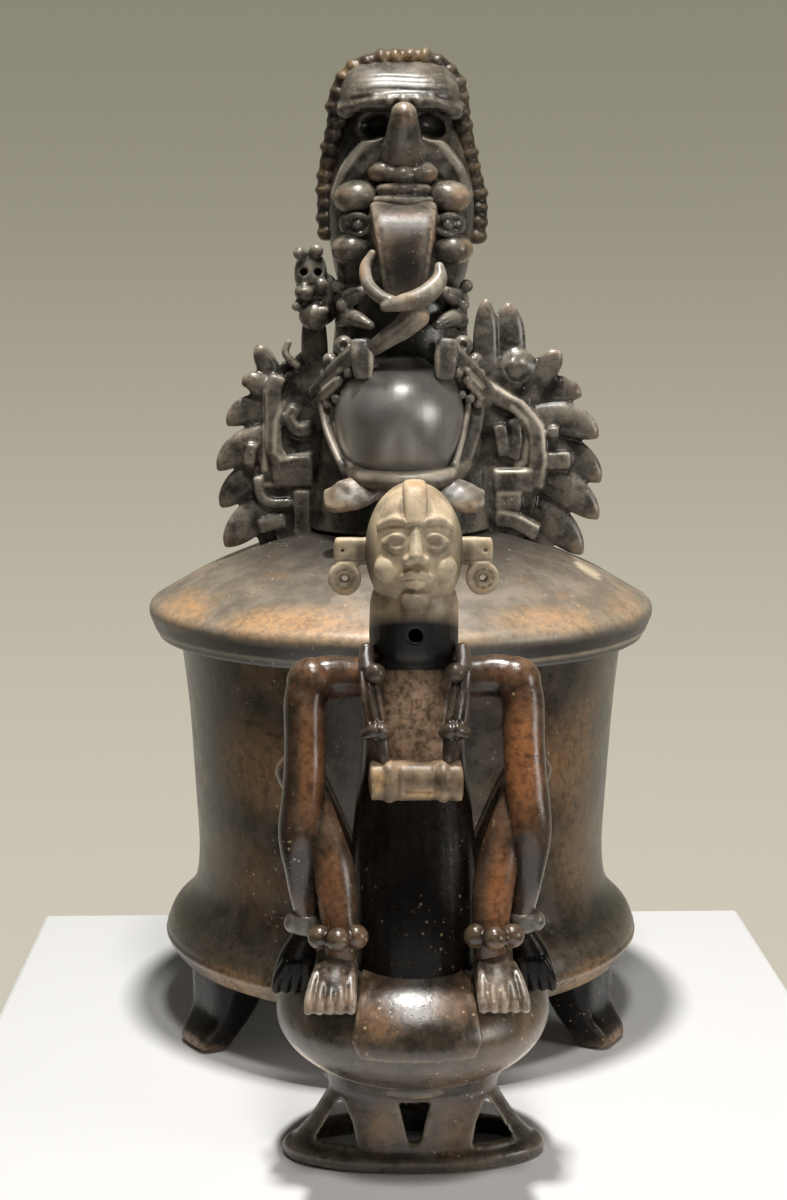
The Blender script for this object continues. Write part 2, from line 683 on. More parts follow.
class VESSEL_OT_feet(bpy.types.Operator):
    """Models the three slab feet with their worn toes"""

    bl_idname = "vessel.feet"
    bl_label = "Slab feet"

    def execute(self, context):
        for name, degrees in {"foot_right": 60, "foot_back": 180, "foot_left": 300}.items():
            turn = math.radians(degrees)
            outward = Vector((math.sin(turn), -math.cos(turn), 0))
            clay = Clay(GROUND)
            stations = [(0.8, 80.4, 70.6, 17), (3, 80.6, 69.4, 18), (9, 76.6, 65.6, 22.4),
                        (16, 75.6, 61, 26.6), (24.2, 75, 57, 30)]
            clay.roll([[*(outward * (outer + inner) / 2).xy, z, width / 2, (outer - inner) / 2]
                       for z, outer, inner, width in stations],
                      square=0.42, dome=0.1, front=outward, sides=32)
            skin = clay.fired(name + "_slab")
            skin.ripple(0.3, 12, degrees * 0.1)
            toe = outward * 76
            skin.mark([((*(outward * 66).xy, 16), (34, 34, 18), -1.3),
                       ((*toe.xy, 3), (13, 13, 5), 0.9)])
            skin.finish("dark_clay", finish("sooty_clay"), name)
        return {"FINISHED"}


class VESSEL_OT_bowl(bpy.types.Operator):
    """Models the front chamber and the tube that joins it to the cylinder"""

    bl_idname = "vessel.bowl"
    bl_label = "Front chamber"

    def execute(self, context):
        clay = Clay(SEAT)
        clay.ball((0, 0, -20), (39, 39, 20), detail=6)
        clay.peg((0, 30, -14), (0, 50.4, -14), 8)
        clay.roll([[24.5, -3, -39, 1.6, 1.2], [0, -17.4, -39.6, 1.6, 1.2],
                   [-24.5, -3, -39, 1.6, 1.2]], steps=10)
        skin = clay.fired("bowl_shell", 0.1)
        skin.ripple(0.25, 22, 0.4)
        skin.mark([((0, -30, -36), (30, 16, 8), -0.4), ((32, -18, -22), (12, 18, 9), 0.2)],
                  dust=[(1.2, (-33, -26), (-20, -33.6), (0, -36.6), (20, -33.6), (33, -26))])
        skin.finish("dark_clay", finish("burnished_dark_clay"), "front_bowl", "joining_tube")

        apron = Clay(SEAT)
        apron.ball((0, 0, -20), (40.1, 40.1, 21.1), detail=6)
        for outline in ([(-60, 10), (-14.6, -2.4), (-17.8, -17), (-15, -23), (-60, -60)],
                        [(60, 10), (14.6, -2.4), (17.8, -17), (15, -23), (60, -60)],
                        [(-60, -22), (60, -22), (60, -70), (-60, -70)],
                        [(-60, -2.8), (60, -2.8), (60, 30), (-60, 30)]):
            apron.plate(outline, -60, 120, out_of=apron.waste)
        apron.ball((0, 0, -20), (38.8, 38.8, 19.8), detail=6, out_of=apron.waste)
        apron.ball((0, 30, -20), (70, 48, 60), detail=4, out_of=apron.waste)
        skin = apron.fired("apron_flap", -0.1)
        skin.mark([((-11, -38, -10), (8, 12, 7), 0.5), ((8, -36, -7), (9, 12, 5), 0.35)])
        skin.finish("brown_clay", finish("apron_clay"), "loincloth")
        return {"FINISHED"}


class VESSEL_OT_pedestal(bpy.types.Operator):
    """Models the openwork oval foot of the front chamber"""

    bl_idname = "vessel.pedestal"
    bl_label = "Openwork foot"

    def execute(self, context):
        clay = Clay(SEAT)
        outer = [(0.3, 36.6, 15.9), (1.2, 37.5, 16.7), (3.6, 37.6, 16.8), (4.6, 36.2, 16),
                 (5, 34.8, 15.3),
                 (9, 31, 14.5), (13, 28, 13.9), (17.5, 25.2, 13.4), (21, 23.8, 13.2),
                 (24, 24.6, 14.2), (27, 26, 15.6)]
        hollow = [(-1, 34, 13.2), (4.5, 31.4, 11.9), (13, 24.6, 10.4), (21, 20, 9.6),
                  (28, 21, 10.4)]
        clay.rings([(0, -3, z - SEAT_HEIGHT, wide, deep) for z, wide, deep in outer])
        clay.rings([(0, -3, z - SEAT_HEIGHT, wide, deep) for z, wide, deep in hollow],
                   out_of=clay.waste)
        through = dict(front=-40, thickness=70, out_of=clay.waste)
        clay.plate([(-4.6, -43), (4.6, -43), (1.8, -54.3), (-1.8, -54.3)], **through)
        for side in SIDES.values():
            clay.plate([(20.5 * side, -43.5), (28.5 * side, -56.3), (16 * side, -56.3),
                        (17.5 * side, -49.6)],
                       **through)
        skin = clay.fired("openwork_foot", -0.05)
        skin.ripple(0.25, 14, 2.2)
        skin.mark([((-9, -16, -50), (7, 8, 9), 0.55), ((11, -16, -50), (7, 8, 9), 0.4),
                   ((0, -3, -62), (50, 30, 3), -0.5)])
        skin.finish("dark_clay", finish("burnished_dark_clay"), "pedestal")
        return {"FINISHED"}


TORSO = [[0, -9, -8, 17.6, 16.5], [0, -8, 12, 18.2, 16.5], [0, -6.5, 37, 16.6, 14],
         [0, -6, 52, 14.6, 13.2], [0, -5.5, 66, 13.8, 12], [0, -5, 76, 11.5, 10.5]]
THIGH = [[13, 4, 1, 7, 7], [22, 2, 24, 6.8, 6.8], [30, -1, 45, 6.3, 6.3], [33, -3, 50, 5.8, 6.2]]
SHIN = [[33, -4, 50, 5.6, 6.4], [27.5, -11, 39, 5.6, 6], [22.5, -17, 25, 5.9, 5.4],
        [20.5, -20.5, 10, 5.1, 5], [20.5, -21, 2, 4.8, 4.8]]
ARM = [[9, -4, 75.4, 5.4, 5.4], [18, -5, 76.2, 5.9, 5.8], [25.6, -6.4, 76, 6.2, 6],
       [29.6, -8.4, 71.4, 6.1, 6], [30, -12, 60, 5.8, 5.8], [30.4, -15, 49, 5.8, 5.6],
       [31.8, -17.5, 36, 5.6, 5.2], [31.4, -16.5, 25, 4.4, 4.4], [29.8, -13.5, 12, 3.5, 3.5]]
PALM = [[30.4, -12.5, 4.5, 3.6, 3.4], [32.6, -12, -2, 5.2, 3.8], [34.4, -11, -8.5, 5.4, 3.2]]
FOOT = [[21, -20, -1, 5.4, 6.2], [22.4, -26, -4, 6.6, 5.4], [23.2, -31.5, -8, 7, 3.4]]
NECK = [[0, -5, 77, 8.5, 8], [0, -4.5, 84, 12, 11.4], [0, -5.5, 97, 12.2, 12]]


class VESSEL_OT_figure(bpy.types.Operator):
    """Models the crouching figure's body, arms and legs"""

    bl_idname = "vessel.figure"
    bl_label = "Figure's body"

    def execute(self, context):
        torso = Clay(SEAT)
        torso.roll(TORSO, sides=32, steps=8)
        skin = torso.fired("torso_form")
        skin.ripple(0.2, 14, 0.9)
        skin.press([(0.6, -20, 71), (-0.2, -20, 66), (0.6, -20, 62)], 0.8, 0.3)
        skin.mark([((0, -20, 66), (22, 16, 20), 0.85), ((0, -24, 10), (20, 26, 36), -1)])
        skin.finish("dark_clay", finish("sooty_clay"), "figure_torso")

        for where, side in SIDES.items():
            limb = Clay(SEAT)
            limb.roll(on_side(side, ARM), steps=8, sides=24)
            limb.ball((28 * side, -7, 75.4), (7, 6.4, 6.8))
            skin = limb.fired("arm_form_" + where)
            skin.ripple(0.2, 9, 1.9 + side)
            skin.mark([((29 * side, -20, 56), (9, 10, 26), 0.65 + 0.2 * side),
                       ((36 * side, -14, 50), (6, 20, 40), -0.5 + 0.3 * side),
                       ((31 * side, -22, 24), (9, 9, 14), -0.9),
                       ((27 * side, -10, 78), (10, 10, 6), 0.2)])
            skin.finish("brown_clay", finish("burnished_red_clay"), "arm_" + where)

            limb = Clay(SEAT)
            limb.roll(on_side(side, THIGH), steps=8, sides=24)
            limb.roll(on_side(side, SHIN), steps=8, sides=24)
            skin = limb.fired("leg_form_" + where)
            skin.ripple(0.2, 9, 2.7 + side)
            skin.mark([((23 * side, -24, 18), (6, 8, 22), 0.6 + 0.15 * side),
                       ((26 * side, 0, 30), (12, 9, 34), -0.9),
                       ((18 * side, -16, 30), (4, 9, 24), -0.6),
                       ((30 * side, -14, 40), (6, 9, 14), -0.5)])
            skin.finish("brown_clay", finish("burnished_red_clay"), "leg_" + where)
        return {"FINISHED"}


class VESSEL_OT_hands_and_feet(bpy.types.Operator):
    """Models the figure's hands, feet, bracelets and anklets"""

    bl_idname = "vessel.hands_and_feet"
    bl_label = "Hands and feet"

    def execute(self, context):
        for where, side in SIDES.items():
            clay = Clay(SEAT)
            clay.roll(on_side(side, PALM))
            for i in range(4):
                spread = (i - 1.5) * 2.7
                clay.roll(on_side(side, [[32.6 + spread * 0.7, -14.8, -2, 1.4, 1.5],
                                         [33.8 + spread, -14.6, -6.6, 1.5, 1.5],
                                         [34.6 + spread, -13.6, -10.4, 1.3, 1.3]]))
            skin = clay.fired("hand_form_" + where, -0.15)
            skin.mark([((34 * side, -12, -4), (14, 14, 14), -1)])
            skin.finish("dark_clay", finish("sooty_clay"), "hand_" + where)

            clay = Clay(SEAT)
            clay.roll(on_side(side, FOOT), front=UPWARD)
            for i in range(5):
                spread = (i - 2) * 2.85
                clay.roll(on_side(side, [[22 + spread * 0.75, -24.6, 0.2, 1.2, 1.3],
                                         [22.8 + spread * 0.9, -29.6, -2.9, 1.3, 1.4],
                                         [23.3 + spread, -33.4, -6.6, 1.4, 1.5],
                                         [23.4 + spread, -34.6, -9, 1.3, 1.3]]), front=UPWARD)
            skin = clay.fired("foot_form_" + where, -0.15)
            skin.mark([((23 * side, -34, -8), (9, 5, 5), 0.3)])
            skin.finish("brown_clay", finish("toe_clay"), "figure_foot_" + where)

            clay = Clay(SEAT)
            clay.roll(on_side(side, [[29.9, -13.3, 10.8, 4.5, 4.5], [30.1, -12.9, 7.6, 4.5, 4.5]]),
                      dome=0.5)
            clay.ball((33.6 * side, -14.4, 9.2), (2.6, 2.7, 3))
            skin = clay.fired("bracelet_form_" + where, -0.1)
            skin.mark()
            skin.finish("dark_clay", finish("burnished_black_clay"), "bracelet_" + where)

            clay = Clay(SEAT)
            for i in range(-1, 2):
                turn = math.radians(i * 52)
                clay.ball(((21.2 + 6.3 * math.sin(turn)) * side, -20.4 - 6.3 * math.cos(turn), 8.2),
                          3.4)
            skin = clay.fired("anklet_form_" + where, -0.1)
            skin.mark()
            skin.finish("brown_clay", finish("burnished_red_clay"), "anklet_" + where)
        return {"FINISHED"}


class VESSEL_OT_head(bpy.types.Operator):
    """Models the figure's head with its crest, ear ornaments, collar and pendant"""

    bl_idname = "vessel.head"
    bl_label = "Figure's head"

    def execute(self, context):
        tilt = Matrix.Rotation(math.radians(-12), 4, "X")
        centre = Vector((0, -5.5, 112))

        def tipped(place):
            return list(centre + tilt @ (Vector(place) - centre))

        def face_roll(stations, **how):
            clay.roll([[*tipped(row[:3]), *row[3:]] for row in stations], **how)

        clay = Clay(SEAT)
        clay.ball(centre, (13.4, 13.5, 18.6), lean=(-12, 0, 0), detail=5)
        clay.roll(NECK, sides=28, steps=8)
        face_roll([[0, -17.6, 117, 1.3, 1.5], [0, -19.6, 111.5, 1.7, 1.7],
                   [0, -20.6, 108.4, 2.1, 2]], dome=0.7)
        for side in SIDES.values():
            clay.ball(tipped((2.1 * side, -19.2, 107.7)), (1.5, 1.8, 1.3), lean=(-12, 0, 0))
            face_roll([[1.5 * side, -18.2, 117.6, 1.1, 1.4], [5.4 * side, -17.3, 118.9, 1.3, 1.5],
                       [9.4 * side, -14.2, 117.6, 1, 1.3]])
            clay.ball(tipped((5.3 * side, -15.9, 112.8)), (3.5, 2.6, 2.2), lean=(-12, 0, 0))
            face_roll([[2.2 * side, -17.6, 113.1, 0.5, 0.7], [5.4 * side, -18.5, 114.6, 0.6, 0.8],
                       [8.6 * side, -16, 112.8, 0.5, 0.7]])
            face_roll([[2.4 * side, -17.6, 112, 0.5, 0.6], [5.4 * side, -18.2, 110.7, 0.6, 0.7],
                       [8.6 * side, -15.9, 112.4, 0.5, 0.6]])
            clay.ball(tipped((7 * side, -14.2, 106)), (4.2, 3.6, 3.6), lean=(-12, 0, 0))
        face_roll([[-4, -16.2, 103.6, 0.8, 1.2], [-1.4, -18.2, 104.2, 1.1, 1.5],
                   [0, -18.2, 103.9, 1, 1.4],
                   [1.4, -18.2, 104.2, 1.1, 1.5], [4, -16.2, 103.6, 0.8, 1.2]])
        face_roll([[-3.6, -15.8, 102.2, 0.8, 1.1], [0, -17.7, 101.4, 1.3, 1.5],
                   [3.6, -15.8, 102.2, 0.8, 1.1]])
        clay.ball(tipped((0, -14.6, 97.4)), (4, 3.2, 3), lean=(-12, 0, 0))
        clay.peg((0, -24, 90.2), (0, -10, 89.5), 1.9, out_of=clay.waste)
        skin = clay.fired("head_form", -0.2)
        skin.ripple(0.12, 7, 3.1)
        skin.mark([((0, -12, 128), (12, 9, 5), 0.35), ((0, -16, 98), (12, 9, 3.4), -0.5)]
                  + [((13.4 * side, -7, 110), (6, 9, 15), -0.8) for side in SIDES.values()]
                  + [((5.4 * side, -17, 113.8), (4.4, 3.4, 3.6), -0.5) for side in SIDES.values()]
                  + [((3.4 * side, -14, 124), (1.6, 9, 6), -0.6) for side in SIDES.values()],
                  deep=1.7)
        neck = np.clip((98.5 - skin.points[:, 2] - 0.35 * (skin.points[:, 1] + 18)) / 5, 0, 1)
        skin.write_values("neck", neck)
        skin.finish("tan_clay", head_clay(), "figure_head")

        clay = Clay(SEAT)
        clay.roll([[0, -6, 128.6, 3.2, 2.6], [0, -10, 128.2, 3.4, 2.9], [0, -13.4, 126, 3.3, 3],
                   [0, -16.2, 119.6, 2.9, 2.4]], square=0.55, dome=0.4, front=UPWARD)
        skin = clay.fired("crest_form", -0.2)
        skin.mark([((0, -12, 129), (4, 9, 4), 0.9)])
        skin.finish("tan_clay", finish("worn_tan_clay"), "hair_crest")

        for where, side in SIDES.items():
            clay = Clay(SEAT)
            clay.roll(on_side(side, [[12.8, -2.5, 111, 3.8, 2.2], [17, -2.5, 111, 3.9, 2.1],
                                     [21.2, -2.5, 111, 3.8, 1.9]]), square=0.45, dome=0.4)
            clay.peg((19 * side, -4.9, 103.6), (19 * side, -0.3, 103.6), 4.6)
            clay.peg((19 * side, -12, 103.6), (19 * side, 8, 103.6), 1.05, out_of=clay.waste)
            clay.peg((19.6 * side, -12, 111.4), (19.6 * side, 8, 111.4), 0.7, out_of=clay.waste)
            skin = clay.fired("ear_form_" + where, -0.2)
            skin.ripple(0.15, 4, side)
            for turn in range(8):
                edge = [math.radians(45 * (turn + k / 4)) for k in range(5)]
                skin.press([((19 + 2.6 * math.cos(a)) * side, -5, 103.6 + 2.6 * math.sin(a))
                            for a in edge], 0.5, 0.35)
            skin.press(on_side(side, [[14, -5, 108.6], [22, -5, 108.6]]), 0.5, 0.4)
            skin.mark([((19 * side, -5, 100), (4, 4, 3), 0.6),
                       ((19 * side, -5, 103.6), (3, 5, 3), -0.7),
                       ((14.4 * side, -5, 110), (2.4, 5, 6), -0.7),
                       ((22 * side, -5, 113), (4, 4, 3), 0.5)])
            skin.finish("tan_clay", finish("worn_tan_clay"), "ear_ornament_" + where)

            clay = Clay(SEAT)
            clay.roll(on_side(side, [[13, -9.6, 85, 2, 2], [13.2, -12.4, 81, 2.3, 2.2],
                                     [12, -17.4, 73.6, 2.9, 2.3],
                                     [10.6, -20.8, 64.6, 3.1, 2.4]]), square=0.7)
            clay.roll(on_side(side, [[7.4, -21.6, 64.2, 1.8, 1.9], [10.2, -23, 65.2, 2.2, 2.3],
                                     [13.4, -21.6, 64, 1.8, 1.9]]))
            clay.roll(on_side(side, [[9.4, -22.4, 62.6, 2.2, 2], [8.8, -23, 58.6, 1.8, 1.8],
                                     [8.6, -23, 56, 1.2, 1.4]]))
            skin = clay.fired("strap_form_" + where, -0.15)
            for offset in (-1, 1):
                skin.press(on_side(side, [[13.2 + offset, -13, 80], [12 + offset * 1.1, -18, 73],
                                          [10.8 + offset * 1.2, -21, 67]]), 0.8, 0.6)
            skin.press(on_side(side, [[10.2, -25, 67.4], [10, -25, 63]]), 0.7, 0.6)
            skin.mark([((12 * side, -16, 76), (6, 8, 9), -0.5),
                       ((9.6 * side, -22, 58), (4, 5, 5), -0.5)])
            skin.finish("brown_clay", finish("strap_clay"), "collar_strap_" + where)

            clay = Clay(SEAT)
            clay.ball((10.8 * side, -16.6, 79.6), 2.8)
            skin = clay.fired("bead_form_" + where, -0.2)
            skin.mark()
            skin.finish("brown_clay", finish("strap_clay"), "collar_bead_" + where)

        clay = Clay(SEAT)
        clay.roll([[-12, -22, 51.2, 5.3, 5.2], [12, -22, 51.2, 5.3, 5.2]], square=0.75, dome=0.14,
                  sides=28)
        for side in SIDES.values():
            clay.roll([[6.6 * side, -22, 51.2, 6, 5.9], [8 * side, -22, 51.2, 6, 5.9]], square=0.8,
                      dome=0.2, sides=28)
        skin = clay.fired("pendant_form", -0.2)
        skin.ripple(0.25, 5, 0.3)
        skin.press([(-3, -28, 49.4), (4, -28, 49)], 0.6, 0.4)
        for x in (-4.8, 4.8):
            skin.press([(x, -28, 57), (x, -29, 51), (x, -28, 46)], 0.7, 0.5)
        skin.mark([((-10.5, -28, 52), (3, 5, 5), 1), ((2, -28, 48.4), (8, 4, 2), 0.9),
                   ((8, -27, 54), (7, 5, 5), -0.3)])
        skin.finish("tan_clay", finish("pendant_clay"), "bar_pendant")
        return {"FINISHED"}


# Lid and its bird

LID_TOP = [(14, 166.8), (22, 166.6), (30, 165.9), (44.5, 162), (63.8, 154.2), (76, 147.4),
           (82.4, 143.7)]
FEATHERS = {
    "left": [(28, 44, 29, 75, 4.2), (41, 45, 47.4, 61.4, 3.5), (42, 42, 52.4, 49.2, 3.9),
             (40, 39, 57.6, 36, 4.7), (42, 31, 60.8, 21, 4.9), (42, 20, 60, 8.6, 5.2),
             (38, 9, 58.6, -4.4, 5.7)],
    "right": [(28, 42, 28, 76, 4.2), (36, 46, 35.4, 74.6, 5.6), (43, 44, 53, 59.4, 4.2),
              (42, 41, 60, 45.4, 4.8),
              (43, 36, 65.6, 31.8, 5.5), (45, 28, 66.8, 16.8, 5.9), (44, 18, 66, 4.4, 5.6),
              (39, 10, 61, -7.8, 5.8)],
}
# How a feather widens to a blunt petal from its root to its tip
PETAL = {0: 0.9, 0.3: 1, 0.5: 1.05, 0.66: 1, 0.78: 0.88, 0.87: 0.7, 0.94: 0.48, 0.99: 0.2}
WING_PLATE = [(18, -10), (40, -8), (45, 8), (47, 24), (45, 38), (38, 52), (24, 56), (18, 52)]
WING_EDGE = {
    "left": [(18, -10), (46, -9), (51, 5), (53, 18), (52, 31), (47, 44), (42, 54), (30, 60),
             (18, 52)],
    "right": [(18, -10), (49, -11), (56, 3), (59, 16), (58, 30), (53, 42), (47, 53), (36, 62),
              (24, 60), (18, 52)],
}
# Raised bands on the wings: their path in X and Z, half width and height
SCROLLS = {
    "left": [([(40.6, 50), (42.1, 45), (42.1, 36), (42, 27), (39.6, 22.4)], 2.8, 2.8),
             ([(41.6, 20), (36, 19.8), (30, 20.2)], 4.8, 2.4), ([(33, 12.4), (33, -2)], 2.9, 2.2),
             ([(47.4, 17), (46.6, 11.4), (43, 8.8), (37, 8.8)], 1.6, 2.2),
             ([(30, 33.5), (34, 33), (36.6, 36), (35, 40)], 2.2, 2.4),
             ([(49.4, 28), (50.4, 22)], 2, 2.4), ([(39, 3), (47, 1)], 2.6, 1.8)],
    "right": [([(15.6, 60), (23.6, 50), (31.6, 44), (39.6, 39.5), (44.8, 32), (45.2, 22),
                (43.6, 15)], 2.8, 2.8),
              ([(31.6, 15.8), (43.4, 16)], 4, 2.4),
              ([(37.4, 36), (38.2, 30), (37.4, 24)], 2.2, 2.4),
              ([(32.6, 34), (34, 25)], 2.2, 2.2), ([(49, 22.6), (55.6, 22.8)], 3, 2.4),
              ([(32, 9), (39.4, 9)], 3.2, 2.2), ([(32, 3.4), (38, 2.4), (45, -1.4)], 2.7, 2),
              ([(50.4, 33.4), (50.6, 31)], 1.8, 2.6)],
}
# Worn light lines on the wings
LIGHT_LINES = {
    "left": [(0.8, (-38.9, 42), (-41.4, 36), (-41.9, 26), (-39.4, 23.4), (-30, 25.4)),
             (0.7, (-44.9, 46), (-45, 20)),
             (0.7, (-45, 15), (-30, 15.4)), (0.7, (-36, 37.6), (-34, 34.6), (-30, 35))],
    "right": [(1, (36.6, 40.3), (41.1, 36.3), (42.1, 29.4), (41.1, 22.4), (38.6, 20.9)),
              (0.8, (17, 61), (26, 50), (40, 42), (46.8, 34), (47.8, 22), (46.6, 14)),
              (0.7, (31.6, 19.6), (43, 19.6)),
              (0.7, (32, 12), (39.6, 12)), (0.7, (32, 6), (38, 5), (46, 1))],
}


class VESSEL_OT_lid(bpy.types.Operator):
    """Turns the lid: a low cone with an upright band and a spigot"""

    bl_idname = "vessel.lid"
    bl_label = "Lid"

    def execute(self, context):
        top = profile(LID_TOP, 1.5)
        rim = [(83.5, 142.6), (83.95, 141.4), (84, 140.4)]
        band = profile([(83.9, 139.4), (83.1, 137.2), (82, 134.6)], 1)
        under = [(81.2, 133.3), (80.7, 132.3), (79.8, 131.8), (74, 131.8), (68.2, 131.8),
                 (67.6, 126.4),
                 (67, 125.8), (64.6, 125.8), (64.2, 126.4), (63.4, 136), (62.8, 149.4), (45, 156),
                 (29, 161), (13.4, 163), (13, 165.9), (14, 166.8)]
        skin = turned("lid_turned", [*top, *rim, *band, *under], COVER)
        skin.ripple(0.22, 46, 4.1)
        crack, radius = math.radians(24), 82.602
        for radial in ([(41, -34, 160), (58, -58, 148)], [(-38, -30, 161), (-60, -52, 148)],
                       [(-6, -50, 160), (-12, -80, 146)], [(60, 20, 158), (78, 26, 146)]):
            skin.press(radial, 1.6, -0.25, facing=UPWARD, reach=30)
        skin.press([(radius * math.cos(a), -radius * math.sin(a), 136)
                    for a in (crack, crack + 0.01)], 0.6, 0.4,
                   facing=(0.9, -0.45, 0), reach=6)
        skin.mark([((0, 0, 168), (86, 84, 26), -1.3), ((0, 0, 134.6), (240, 240, 7), -1.8),
                   ((-38, -70, 145), (40, 18, 7), 1.2), ((44, -66, 145), (34, 16, 6), 0.7),
                   ((0, -82, 143), (40, 6, 4), 0.7), ((-70, -36, 144), (16, 26, 8), 0.9),
                   ((70, -36, 144), (14, 26, 6), 0.5)], 6,
                  dust=[(0.8, (58, 156), (64, 152.6)), (0.5, (-84, 134.2), (84, 134.2))])
        skin.finish("dark_clay", finish("lid_clay"), "lid_cover")
        return {"FINISHED"}


class VESSEL_OT_bird(bpy.types.Operator):
    """Models the bird's hollow body, glossy breast, bib and feet"""

    bl_idname = "vessel.bird"
    bl_label = "Bird's body"

    def execute(self, context):
        clay = Clay(PERCH)
        clay.rings([(0, 0, z, radius, radius) for radius, z in
                    ((30, 0.3), (29.6, 8), (28, 21), (25.6, 42), (23.2, 52), (21.8, 66), (21.4, 80),
                     (17, 88))])
        clay.rings([(0, 0, z, radius, radius) for radius, z in
                    ((25, -2), (24.8, 0), (23, 21), (20.6, 42), (16.8, 66), (14, 82))],
                   out_of=clay.waste)
        skin = clay.fired("bird_trunk", 0.05)
        skin.ripple(0.3, 16, 1.1)
        skin.mark([((0, -22, 66), (24, 14, 18), -1.6), ((0, -26, 30), (44, 20, 34), -1.2)])
        skin.finish("black_clay", finish("burnished_black_clay"), "bird_body")

        clay = Clay(PERCH)
        clay.roll([[-1.2, -20, 18, 16.8, 16], [-1.2, -20, 24, 18.6, 20.5],
                   [-1.2, -20, 33, 20.4, 24.2],
                   [-1.2, -20, 41, 20.8, 25], [-1.2, -20, 48, 19, 22.6],
                   [-1.2, -20, 52.6, 15.4, 18],
                   [-1.2, -20, 55.4, 9.6, 12]], sides=56, steps=10, dome=0.3)
        skin = clay.fired("breast_dome")
        skin.ripple(0.18, 16, 2.6)
        skin.mark([((0, -38, 60), (22, 14, 4), -1), ((0, -44, 18), (26, 12, 9), -0.8)], deep=2)
        skin.finish("black_clay", finish("breast_clay"), "bird_breast")

        clay = Clay(PERCH)
        for x0, x1, x2 in ((-26.6, -23.4, -18.4), (-23.6, -20.2, -15)):
            clay.roll([[x0, -15, 47, 1.3, 2], [x0 + 1, -18.4, 39, 1.2, 2.2],
                       [x1, -23, 31, 1.2, 2.4], [x2, -29.6, 21, 1.4, 2.6]],
                      square=0.6, steps=6)
        clay.roll([[-24.6, -13.6, 46, 3, 1.6], [-21.6, -20.4, 31, 3, 1.8],
                   [-16.8, -27, 20, 2.6, 2]], square=0.6)
        clay.roll([[23.4, -14.6, 47, 3.6, 2], [22.6, -18, 38, 3.8, 2.2],
                   [20.4, -22.6, 30, 3.7, 2.4], [18, -26.6, 21, 3, 2.4]],
                  square=0.5, steps=6)
        clay.roll([[21.4, -19, 45, 1.1, 2], [20, -23.4, 36, 1.1, 2.2], [17.6, -27.8, 27, 1.2, 2.4],
                   [15.4, -30.4, 22, 1.4, 2.4]],
                  square=0.6, steps=6)
        clay.roll([[-17.6, -27, 22.8, 2.2, 3.4], [-12, -34.4, 19.8, 3.2, 4.6],
                   [-2, -38.6, 19.2, 3.3, 5],
                   [8, -37.4, 19.4, 3.3, 4.8], [15.6, -31.4, 20.8, 2.8, 4], [20, -25, 23, 2, 3]],
                  square=0.7, dome=0.4, steps=8)
        clay.roll([[-18.6, -24, 14.6, 2.4, 3.6], [-9, -30, 14.4, 2.4, 4], [0, -32, 14.2, 2.4, 4],
                   [9, -30, 14.4, 2.4, 4], [18.6, -24, 14.6, 2.4, 3.6]], square=0.8, dome=0.4,
                  steps=8)
        skin = clay.fired("bib_strips", -0.15)
        skin.mark([((0, -36, 18), (26, 12, 6), 0.15)],
                  dust=[(0.9, (-25.8, 44), (-24.4, 36), (-20.6, 26)),
                        (0.9, (-22.6, 42), (-21, 34), (-17, 24)),
                        (0.8, (21, 42), (19.4, 33), (16.6, 24)),
                        (1.4, (-14, 21), (-2, 20.6), (15, 21.6))])
        skin.finish("black_clay", finish("bib_clay"), "bib_frame")

        for where, side in SIDES.items():
            clay = Clay(PERCH)
            clay.roll(on_side(side, [[7, -33, 18, 3.6, 2.4], [13, -36.4, 16, 5.4, 2.8],
                                     [19.6, -38, 14, 5.8, 2.6],
                                     [24.4, -37.4, 13, 3.8, 2]]), square=0.8, dome=0.6,
                      front=(0, -0.75, 0.66), steps=6)
            clay.ball((26.4 * side, -41, 8.6), (3, 5, 2.6), out_of=clay.waste)
            clay.ball((16.6 * side, -42.4, 8.4), (2.4, 4, 2), out_of=clay.waste)
            skin = clay.fired("stump_" + where, -0.15)
            skin.ripple(0.35, 4, 1 + side)
            skin.mark([((20 * side, -40, 9), (9, 8, 5), 1),
                       ((12 * side, -32, 19), (6, 6, 5), -0.5)])
            skin.finish("tan_clay", finish("stump_clay"), "bird_foot_" + where)
        return {"FINISHED"}


